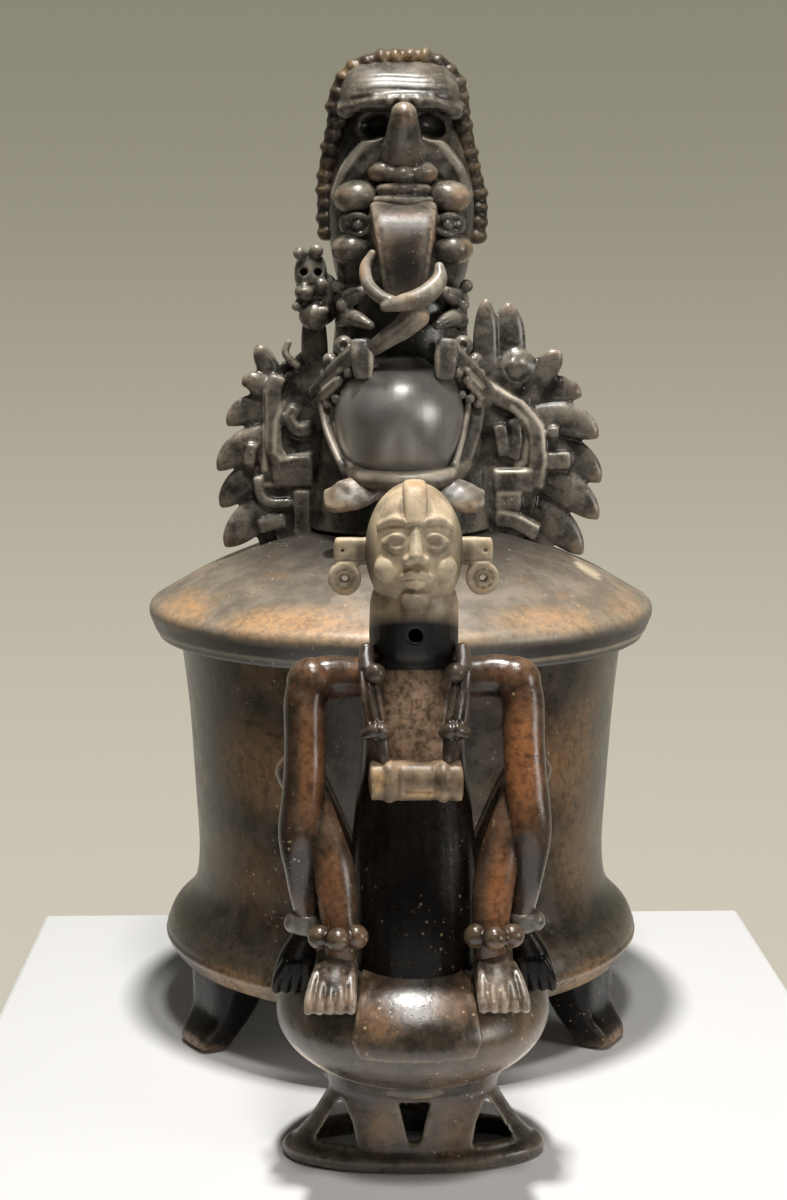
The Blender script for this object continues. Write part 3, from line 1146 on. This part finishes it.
class VESSEL_OT_wings(bpy.types.Operator):
    """Models the wings: overlapping feathers under raised scroll bands"""

    bl_idname = "vessel.wings"
    bl_label = "Wings"

    def execute(self, context):
        for where, side in SIDES.items():
            clay = Clay(PERCH)
            clay.plate([(x * side, z) for x, z in WING_PLATE], -3.4, 6.8)
            clay.plate([(x * side, z) for x, z in WING_EDGE[where]], -1, 3.4)
            for i, (x0, z0, x1, z1, wide) in enumerate(FEATHERS[where]):
                lean = 0.9 if i % 2 else -0.7
                sag = abs(x1 - x0) / math.hypot(x1 - x0, z1 - z0)
                row = [[x0 + (x1 - x0) * t, lean - 1.4 * t,
                        z0 + (z1 - z0) * t + sag * (3 * math.sin(2.6 * t) - 3.2 * t ** 3),
                        wide * share, 2.6 * share ** 0.5] for t, share in PETAL.items()]
                clay.roll(on_side(side, row), square=0.85, dome=0.5, steps=3, sides=24)
            for path, wide, high in SCROLLS[where]:
                clay.roll([[x * side, -3.2, z, wide, high] for x, z in path], square=0.4, dome=0.5,
                          steps=8 if len(path) > 2 else 4)
            if where == "right":
                clay.ball((38.4, -2, 53.3), (6.8, 3.4, 6.6))
                clay.ball((36.8, -4.6, 55), 1.5)
                clay.ball((40.2, -4.6, 54.6), 1.4)
            else:
                clay.roll([[-34, -3.4, 54, 1.3, 2], [-38, -3.6, 58, 1.3, 2],
                           [-37, -3.4, 62, 1.3, 1.8]])
            skin = clay.fired("wing_form_" + where, -0.05)
            skin.ripple(0.2, 9, 2.2 + side)
            tips = [((x1 * side, -3, z1), (5, 9, 5), 0.3) for _, _, x1, z1, _ in FEATHERS[where]]
            if where == "right":
                skin.press([(34.6, -5, 53), (36, -6, 50.4), (39, -6, 49.6), (42, -5, 51.4)], 0.9,
                           0.8)
            skin.mark(tips, dust=LIGHT_LINES[where])
            skin.finish("black_clay", finish("burnished_black_clay"), "wing_" + where)
        return {"FINISHED"}


class VESSEL_OT_bird_head(bpy.types.Operator):
    """Models the bird's head, its layered face and what its beak holds"""

    bl_idname = "vessel.bird_head"
    bl_label = "Bird's head"

    def execute(self, context):
        clay = Clay(PERCH)
        clay.roll([[0, -3, 84, 21.5, 18], [0, -4, 95, 23.4, 19], [0, -3, 107, 23.8, 18],
                   [0, -1.5, 120, 22, 16],
                   [0, 0, 132, 19.5, 14], [0, 0, 143, 16.5, 12]], sides=40, steps=6)
        for side in SIDES.values():
            clay.roll(on_side(side, [[5, -18.6, 122.4, 2.6, 2.4], [10.6, -17.4, 120, 3.4, 3],
                                     [15.4, -15, 114.6, 3.6, 3.4],
                                     [18.6, -12, 107, 3.2, 3.4]]), square=0.7, steps=6)
            clay.roll(on_side(side, [[6, -19.4, 126.2, 1.1, 2], [10.6, -18.8, 125, 1.5, 2.8],
                                     [14.6, -17.6, 121.8, 1.7, 3],
                                     [18.4, -15, 116.4, 1.8, 3.2], [21.2, -11.4, 109, 1.6, 3]]),
                      square=0.8, steps=6)
            clay.ball((10 * side, -21, 131), (7.4, 13, 5.6), lean=(0, 10 * side, 0),
                      out_of=clay.waste)
        skin = clay.fired("head_slab")
        skin.ripple(0.2, 10, 0.7)
        skin.mark([((0, -14, 130), (16, 12, 5), -1.4), ((0, -18, 119), (7, 9, 4), -0.8)],
                  dust=[(1.1, *line) for line in (((-8, 126), (-13.7, 122.6), (-19.1, 116),
                                                   (-21.9, 109)),
                                                  ((7, 126.4), (11.7, 124.6), (17.4, 118),
                                                   (21.7, 109)))])
        skin.finish("black_clay", finish("burnished_black_clay"), "bird_head")

        clay = Clay(PERCH)
        clay.roll([[0, -20, 101.4, 10.2, 5], [0, -27.6, 100.6, 10.6, 5.4], [0, -34, 96, 9.6, 5.6],
                   [0, -36, 89.6, 8.4, 5.6],
                   [0, -36.4, 83, 7.2, 5.2], [0, -36, 78, 6.2, 4.4]], square=0.25, dome=0.4,
                  sides=40, steps=6)
        for side in SIDES.values():
            clay.ball((9.6 * side, -29, 101), (1.8, 3.4, 1.6))
        skin = clay.fired("beak_form")
        for side in SIDES.values():
            skin.press([(7.6 * side, -40, 97), (6.4 * side, -44, 88), (4.6 * side, -44, 78)], 0.9,
                       0.25)
        skin.mark([((9 * side, -34, 90), (2, 12, 13), 0.9) for side in SIDES.values()]
                  + [((0, -42, 85), (6.4, 8, 11), -0.8), ((0, -32, 101), (12, 9, 3), 0.3)])
        skin.finish("black_clay", finish("beak_clay"), "beak")

        clay = Clay(PERCH)
        clay.roll([[-6.6, -21.6, 106.4, 1.9, 4.6], [0, -25.6, 106.2, 2, 6],
                   [6.8, -21.6, 106.4, 1.9, 4.6]], square=0.8)
        clay.roll([[-6, -21.6, 110, 1.9, 4], [0, -25.4, 109.8, 2.1, 5.4],
                   [6.4, -21.6, 110, 1.9, 4]], square=0.8)
        skin = clay.fired("nose_form", -0.15)
        skin.mark()
        skin.finish("black_clay", finish("burnished_black_clay"), "nose_root")

        clay = Clay(PERCH)
        for side in SIDES.values():
            clay.roll(on_side(side, [[2.6, -22.6, 114.8, 3, 4.6], [6, -21, 115.6, 3.6, 5],
                                     [7.4, -19.6, 115.6, 3.4, 4.6]]),
                      dome=0.9)
        clay.ball((0, -23.6, 114.4), (4.4, 4.6, 3.4))
        skin = clay.fired("bow_form", -0.15)
        skin.mark([((9 * side, -23, 114), (3.4, 5, 4), 0.7) for side in SIDES.values()])
        skin.finish("black_clay", finish("burnished_black_clay"), "forehead_bow")

        for where, side in SIDES.items():
            for form, place, shape, node, tint in (
                    ("brow_form_", (14.4, -18, 108), (7.6, 8.4, 5.4), "brow_", (18, -22, 107)),
                    ("cheek_form_", (16.4, -18, 91.8), (6.4, 8.4, 5), "cheek_", (20, -20, 91))):
                clay = Clay(PERCH)
                clay.ball((place[0] * side, *place[1:]), shape, lean=(0, 6 * side, 0), detail=5)
                skin = clay.fired(form + where, -0.1)
                skin.ripple(0.15, 6, side)
                skin.mark([((tint[0] * side, *tint[1:]), (5, 8, 5), 0.85 if side > 0 else 0.45)])
                skin.finish("black_clay", finish("burnished_black_clay"), node + where)
            clay = Clay(PERCH)
            clay.ball((14.6 * side, -18.6, 99.6), (5.8, 5, 4.4))
            clay.ball((14.2 * side, -23, 99), 1.9)
            clay.roll(on_side(side, [[10, -21, 99.4, 0.9, 1], [12.4, -23.4, 101.6, 1, 1.4],
                                     [16, -23, 102, 1, 1.4], [19.6, -19.2, 99.8, 0.8, 1]]))
            clay.roll(on_side(side, [[10.4, -21.4, 98, 0.8, 1], [14.2, -23.4, 96, 1, 1.2],
                                     [18.6, -19.8, 97.4, 0.8, 1]]))
            skin = clay.fired("eye_form_" + where, -0.2)
            skin.mark()
            skin.finish("black_clay", finish("burnished_black_clay"), "eye_" + where)

        clay = Clay(PERCH)
        clay.roll([[-9.8, -37, 90, 1.3, 1.5], [-12.1, -37.6, 85.4, 1.9, 2],
                   [-11.2, -39.6, 80.2, 2.1, 2.2],
                   [-7.3, -41.6, 76.4, 2.1, 2.2], [-3.7, -42.4, 75.3, 1.7, 1.9]], steps=8)
        clay.roll([[-6.4, -43, 73.6, 1.7, 1.8], [-0.6, -44, 74.8, 2.7, 2.6],
                   [4, -43.8, 76, 3.1, 2.9], [8, -42.4, 78.4, 3.1, 2.9],
                   [10.8, -39.8, 82, 2.5, 2.5], [10.8, -37.4, 86, 1.5, 1.7]], steps=8)
        skin = clay.fired("crescent_form", -0.15)
        skin.mark([((-13.4, -38, 84), (2.4, 5, 8), 0.9)])
        skin.finish("tan_clay", finish("crescent_clay"), "beak_crescent")

        clay = Clay(PERCH)
        clay.roll([[-15, -30, 57, 1.8, 2.2], [-10, -34, 60.4, 2.5, 2.8], [-5, -37.6, 64, 3.1, 3.2],
                   [0, -40, 67.4, 3.7, 3.6], [4, -41.4, 71, 4.1, 3.8]], steps=8, dome=0.9)
        skin = clay.fired("knot_form", -0.1)
        skin.press([(-9, -38, 61), (-1, -44, 67), (3, -46, 71)], 0.7, 0.4)
        skin.mark([((6, -42, 70), (3.4, 6, 4), 0.8), ((-11, -32, 60), (9, 9, 5), -1)])
        skin.finish("tan_clay", finish("horn_clay"), "throat_knot")
        return {"FINISHED"}


class VESSEL_OT_headdress(bpy.types.Operator):
    """Models the beast's upper jaw worn as a headdress, with its string of beads"""

    bl_idname = "vessel.headdress"
    bl_label = "Headdress"

    def execute(self, context):
        clay = Clay(PERCH)
        clay.roll([[-0.6, -5, 136, 19.6, 20.4], [-0.6, -5, 138, 19.6, 20],
                   [-0.6, -4, 142, 19, 16.6],
                   [-0.6, -2.6, 146.4, 17.4, 12], [-0.6, -1.6, 149, 13.6, 7.6]], square=0.62,
                  dome=0.06, sides=56, steps=8)
        clay.roll([[-19.4, -8, 137, 2, 2.4], [-16.6, -18.4, 135.8, 2, 2.4],
                   [-9, -24, 137.4, 1.6, 2],
                   [0, -25.6, 138, 1.6, 2], [9, -24, 137.4, 1.6, 2], [15.4, -18.4, 135.6, 2, 2.4],
                   [18.4, -8, 137, 2, 2.4]], steps=8)
        clay.ball((-18, -15, 135.4), (3, 3.6, 2.8))
        clay.ball((16.4, -16, 134.8), (2.8, 3.4, 2.6))
        for i in range(-2, 3):
            clay.ball((i * 4.4, -26.4 + 0.5 * i * i, 137.4), 1.9)
        skin = clay.fired("visor_form", -0.1)
        skin.ripple(0.15, 8, 1.7)
        skin.press([(-16, -20, 138), (-6, -26, 138.4), (6, -26, 138.4), (15, -20, 138)], 0.9, 0.35,
                   reach=20)
        for height in (140.4, 142.6, 144.8):
            skin.press([(-15, -20, height), (-5, -24, height + 0.5), (6, -24, height),
                        (14, -20, height + 0.4)], 0.6, 0.15,
                       reach=20)
        skin.mark([((0, -20, 133), (22, 9, 2), -0.5)])
        skin.finish("black_clay", finish("visor_clay"), "headdress_visor")

        clay = Clay(PERCH)
        clay.roll([[0, -15, 115.6, 9, 5], [0, -21, 119.6, 7.8, 5.4], [0, -26.6, 126, 5.8, 5],
                   [0, -30.6, 133, 4.1, 4.2]], front=UPWARD, steps=8)
        skin = clay.fired("snout_form", -0.1)
        skin.mark([((0, -32, 132), (5, 6, 5), 0.6), ((0, -22, 116), (10, 6, 4), -1)])
        skin.finish("black_clay", finish("burnished_black_clay"), "headdress_snout")

        arch = [[-24, -1, 96], [-24.2, -1, 101], [-24.4, -1, 108], [-24, -2, 117], [-22.4, -4, 125],
                [-21, -6, 132],
                [-20.8, -8, 138.6], [-18.4, -9, 144.6], [-14, -10, 148.6], [-8, -11, 150.8],
                [0, -11, 151.6],
                [7, -11, 151.4], [12.5, -10, 149.2], [16.4, -9, 145.4], [18.8, -8, 140],
                [18.9, -6.6, 134.6],
                [20.4, -5, 128], [22.6, -3, 119], [24.6, -1, 111], [25.4, -1, 103], [24.6, -1, 96]]
        even = np.array(smooth_path(arch, 20))
        far = np.concatenate([[0], np.cumsum(np.linalg.norm(np.diff(even, axis=0), axis=1))])
        clay = Clay(PERCH)
        clay.roll([[*place, 2.9, 3] for place in even[::8]], steps=2, dome=0.5)
        for i, d in enumerate(np.arange(1.5, far[-1], 4.5)):
            place, ahead = ([float(np.interp(d + step, far, even[:, k])) for k in range(3)]
                            for step in (0, 0.5))
            lean = math.degrees(math.atan2(ahead[0] - place[0], ahead[2] - place[2]))
            clay.ball(place, (3.5 + 0.4 * math.sin(2.3 * i), 3.9, 2.5 + 0.3 * math.sin(1.7 * i)),
                      lean=(0, lean, 0))
        skin = clay.fired("bead_string", -0.1)
        skin.ripple(0.15, 4, 2.9)
        skin.mark([((0, -12, 150), (11, 8, 5), 0.7), ((-16, -12, 147), (6, 8, 5), 0.5)], 12)
        skin.finish("black_clay", finish("string_clay"), "headdress_beads")
        return {"FINISHED"}


class VESSEL_OT_serpents(bpy.types.Operator):
    """Models the serpent heads at the breast and the small head at the left cheek"""

    bl_idname = "vessel.serpents"
    bl_label = "Serpents and side head"

    def execute(self, context):
        for where, side in SIDES.items():
            clay = Clay(PERCH)
            clay.roll(on_side(side, [[27, -11, 46, 3.4, 3.4], [23.4, -18, 51, 3, 3.2],
                                     [18.4, -26.4, 56.4, 2.9, 3.2],
                                     [13.6, -32.6, 60, 2.8, 3]]), square=0.6)
            clay.roll(on_side(side, [[13.6, -32.8, 62.4, 3.4, 2.8], [13, -34.8, 57, 3.7, 2.9],
                                     [12.9, -34.6, 51.8, 2.8, 2.5]]),
                      square=0.5, dome=0.4)
            clay.roll(on_side(side, [[27, -12, 43, 2.7, 2.8], [24, -20, 46.4, 2.3, 2.5],
                                     [20.4, -26.4, 50.4, 1.8, 2.1]]))
            for place, size in (((19, -26, 61.4), 3.2), ((23.4, -20, 56.6), 2.4),
                                ((17.4, -30, 52.8), 1.7),
                                ((20.4, -27, 54), 1.5), ((25, -17, 52), 1.9),
                                ((21.4, -24.8, 44.4), 1.7), ((18.6, -27.2, 45.8), 1.6),
                                ((24.2, -20.6, 42.6), 1.7)):
                clay.ball((place[0] * side, *place[1:]), size, detail=3)
            clay.peg((19 * side, -36, 61.6), (19 * side, -27.6, 61.4), 1.2, out_of=clay.waste)
            skin = clay.fired("serpent_form_" + where, -0.15)
            skin.press(on_side(side, [[22, -26, 53], [17.4, -33, 58.4]]), 0.8, 0.5)
            skin.mark(dust=[(0.8, *[(x * side, z) for x, z in line]) for line in
                            (((10.4, 61), (10.2, 52)), ((26, 48), (20, 54)), ((26, 44), (21, 49)))])
            skin.finish("black_clay", finish("burnished_black_clay"), "serpent_" + where)

            clay = Clay(PERCH)
            clay.roll(on_side(side, [[18.5, -9, 66, 3, 3], [18.5, -9, 78, 3, 3]]))
            clay.roll(on_side(side, [[19, -10, 69, 2.6, 3], [16, -22, 70, 2.8, 3],
                                     [10.5, -28.5, 67.6, 1.5, 1.8]]))
            clay.roll(on_side(side, [[19, -10, 76, 2.8, 3], [16.5, -20, 76.5, 3, 3],
                                     [12.6, -25, 78.6, 1.6, 1.8]]))
            clay.ball((19.4 * side, -21, 74), 2)
            clay.ball((20.6 * side, -17, 80), 2.2)
            skin = clay.fired("leaf_form_" + where, -0.15)
            skin.press(on_side(side, [[18, -20, 77], [14.6, -26, 78.2]]), 0.9, 0.5)
            skin.mark()
            skin.finish("black_clay", finish("burnished_black_clay"), "serpent_crest_" + where)

        clay = Clay(PERCH)
        for place, shape in (((-26.5, -5, 76), (7, 6, 9)), ((-29.5, -8, 84), (5.4, 5.2, 8)),
                             ((-31.6, -11.6, 78), (3.2, 3.6, 3)),
                             ((-28.5, -9.5, 70.5), (5, 4.4, 4.6))):
            clay.ball(place, shape)
        for x, z, size in ((-33, 90.4, 2.2), (-27.6, 91.2, 2.4), (-26, 80.6, 2), (-34, 73.6, 1.8),
                           (-25.4, 72, 1.8)):
            clay.ball((x, -11.6, z), size, detail=3)
        for x in (-31.7, -27.1):
            clay.peg((x, -20, 84.5), (x, -8, 84.5), 1.3, out_of=clay.waste)
        skin = clay.fired("side_head_form", -0.15)
        skin.press([(-34.4, -14, 80.6), (-31.6, -16, 79.8), (-28.4, -14, 80.6)], 0.8, 0.6)
        skin.press([(-33.4, -14, 75.4), (-30, -15, 74.6), (-26.6, -14, 75.6)], 0.8, 0.8)
        skin.mark()
        skin.finish("black_clay", finish("burnished_black_clay"), "side_head")
        return {"FINISHED"}


# Stage

PLINTH_SIZE = (0.276, 0.6, 0.4)
# The heights of a view direction between which the wall's low colour turns into its high one
WALL_BLEND = (-0.34, 0.16)
# Between the first two directions, front to back, the wall's strength in the polish rises from the
# third value to 1
WALL_GLEAM = (-0.1, 0.8, 0.12)
# The soft light that comes from all round
AIR_COLOUR, AIR_STRENGTH = (1, 0.97, 0.92, 1), 0.04
# Each lamp's place from the ground under the cylinder, and its width, in metres
LAMPS = {
    "overhead": ((-0.015, -0.11, 1.1), 0.08),
    "front": ((0.04, -0.6, 1.25), 0.2),
    "side": ((0.9, -0.55, 0.3), 0.4),
}
LAMP_COLOUR = (1, 0.975, 0.935)
# The camera: its sensor in millimetres, its focal length and the image's height in pixels, its
# angles in degrees, and its place from the ground under the cylinder, in metres
SENSOR, FOCAL_PIXELS, IMAGE_HEIGHT = 36, 1980, 1200
CAMERA_TURN, CAMERA_TILT = 1.5, 8.7
CAMERA_DISTANCE, CAMERA_HEIGHT, CAMERA_LEFT = 0.6603, 0.243, 0.0024


class VESSEL_OT_stage(bpy.types.Operator):
    """Sets the plinth, wall, lamps and camera"""

    bl_idname = "vessel.stage"
    bl_label = "Stage"

    def execute(self, context):
        scene, look, ground = context.scene, context.scene.vessel_look, GROUND.point
        work = bmesh.new()
        middle_of_plinth = ground + Vector((0, -0.197, -PLINTH_SIZE[2] / 2))
        bmesh.ops.create_cube(work, size=1, matrix=Matrix.Translation(middle_of_plinth)
                              @ Matrix.Diagonal((*PLINTH_SIZE, 1)))
        bmesh.ops.bevel(work, geom=work.edges[:], affect="EDGES", offset=0.0015, segments=2,
                        profile=0.5, material=-1)
        plinth = mesh_object("plinth", work, Matrix())
        white = bpy.data.materials.new("plinth_paint")
        white.use_nodes = True
        white.node_tree.nodes["Principled BSDF"].inputs["Base Color"].default_value = look.plinth
        white.node_tree.nodes["Principled BSDF"].inputs["Roughness"].default_value = 0.6
        plinth.data.materials.append(white)

        world = bpy.data.worlds.new("gallery")
        scene.world = world
        world.use_nodes = True
        tree = world.node_tree
        tree.nodes.clear()
        path = tree.nodes.new("ShaderNodeLightPath").outputs
        where = tree.nodes.new("ShaderNodeTexCoord").outputs["Generated"]
        along = wire(tree, "ShaderNodeSeparateXYZ", {0: where}).outputs
        shade = tree.nodes.new("ShaderNodeValToRGB")
        tree.links.new(ramp(tree, along["Z"], *WALL_BLEND), shade.inputs[0])
        shade.color_ramp.elements[0].color = look.wall_low
        shade.color_ramp.elements[1].color = look.wall_high
        seen = math_node(tree, "MAXIMUM", path["Is Camera Ray"], math_node(
            tree, "MAXIMUM", path["Is Glossy Ray"], path["Is Transmission Ray"]))
        soft = wire(tree, "ShaderNodeBackground", {"Color": AIR_COLOUR, "Strength": AIR_STRENGTH})
        behind = math_node(tree, "MAXIMUM", path["Is Camera Ray"],
                           ramp(tree, along["Y"], *WALL_GLEAM))
        wall = wire(tree, "ShaderNodeBackground", {"Color": shade.outputs[0], "Strength": behind})
        both = wire(tree, "ShaderNodeMixShader", {0: seen, 1: soft.outputs[0], 2: wall.outputs[0]})
        out = tree.nodes.new("ShaderNodeOutputWorld")
        tree.links.new(both.outputs[0], out.inputs["Surface"])

        aim = ground + Vector((0, -0.03, 0.15))
        for name, (place, size) in LAMPS.items():
            lamp = bpy.data.lights.new(name, "AREA")
            lamp.shape, lamp.size, lamp.energy = "DISK", size, getattr(look, name + "_power")
            lamp.color = LAMP_COLOUR
            holder = bpy.data.objects.new(name, lamp)
            holder.location = ground + Vector(place)
            holder.rotation_euler = (aim - holder.location).to_track_quat("-Z", "Y").to_euler()
            scene.collection.objects.link(holder)

        camera = bpy.data.cameras.new("camera")
        camera.sensor_width, camera.lens = SENSOR, SENSOR * FOCAL_PIXELS / IMAGE_HEIGHT
        camera.clip_start, camera.clip_end = 0.05, 20
        holder = bpy.data.objects.new("camera", camera)
        turn, tilt = math.radians(CAMERA_TURN), math.radians(CAMERA_TILT)
        holder.location = ground + Vector((-CAMERA_DISTANCE * math.sin(turn) - CAMERA_LEFT,
                                           -CAMERA_DISTANCE * math.cos(turn), CAMERA_HEIGHT))
        holder.rotation_euler = (math.pi / 2 - tilt, 0, -turn)
        scene.collection.objects.link(holder)
        scene.camera = holder
        scene.view_settings.view_transform = "Standard"
        return {"FINISHED"}


class VESSEL_PT_panel(bpy.types.Panel):
    """Sizes, colours and pieces of the vessel"""

    bl_label = "Tripod vessel"
    bl_idname = "VESSEL_PT_panel"
    bl_space_type = "VIEW_3D"
    bl_region_type = "UI"
    bl_category = "Vessel"

    def draw(self, context):
        for group in (context.scene.vessel_sizes, context.scene.vessel_look):
            for name in group.bl_rna.properties.keys():
                if name not in ("rna_type", "name"):
                    self.layout.prop(group, name)
        for operator in OPERATORS:
            self.layout.operator(operator.bl_idname)


OPERATORS = (
    VESSEL_OT_chamber, VESSEL_OT_feet, VESSEL_OT_bowl, VESSEL_OT_pedestal, VESSEL_OT_figure,
    VESSEL_OT_hands_and_feet, VESSEL_OT_head, VESSEL_OT_lid, VESSEL_OT_bird, VESSEL_OT_wings,
    VESSEL_OT_bird_head, VESSEL_OT_headdress, VESSEL_OT_serpents, VESSEL_OT_stage,
)
CLASSES = (Sizes, Look, *OPERATORS, VESSEL_PT_panel)


def register():
    for item in CLASSES:
        bpy.utils.register_class(item)
    bpy.types.Scene.vessel_sizes = bpy.props.PointerProperty(type=Sizes)
    bpy.types.Scene.vessel_look = bpy.props.PointerProperty(type=Look)


def unregister():
    del bpy.types.Scene.vessel_look
    del bpy.types.Scene.vessel_sizes
    for item in reversed(CLASSES):
        bpy.utils.unregister_class(item)


def main():
    register()
    for operator in OPERATORS:
        group, name = operator.bl_idname.split(".")
        if getattr(getattr(bpy.ops, group), name)() != {"FINISHED"}:
            raise RuntimeError(operator.bl_label + " wasn't finished")


if __name__ == "__main__":
    main()
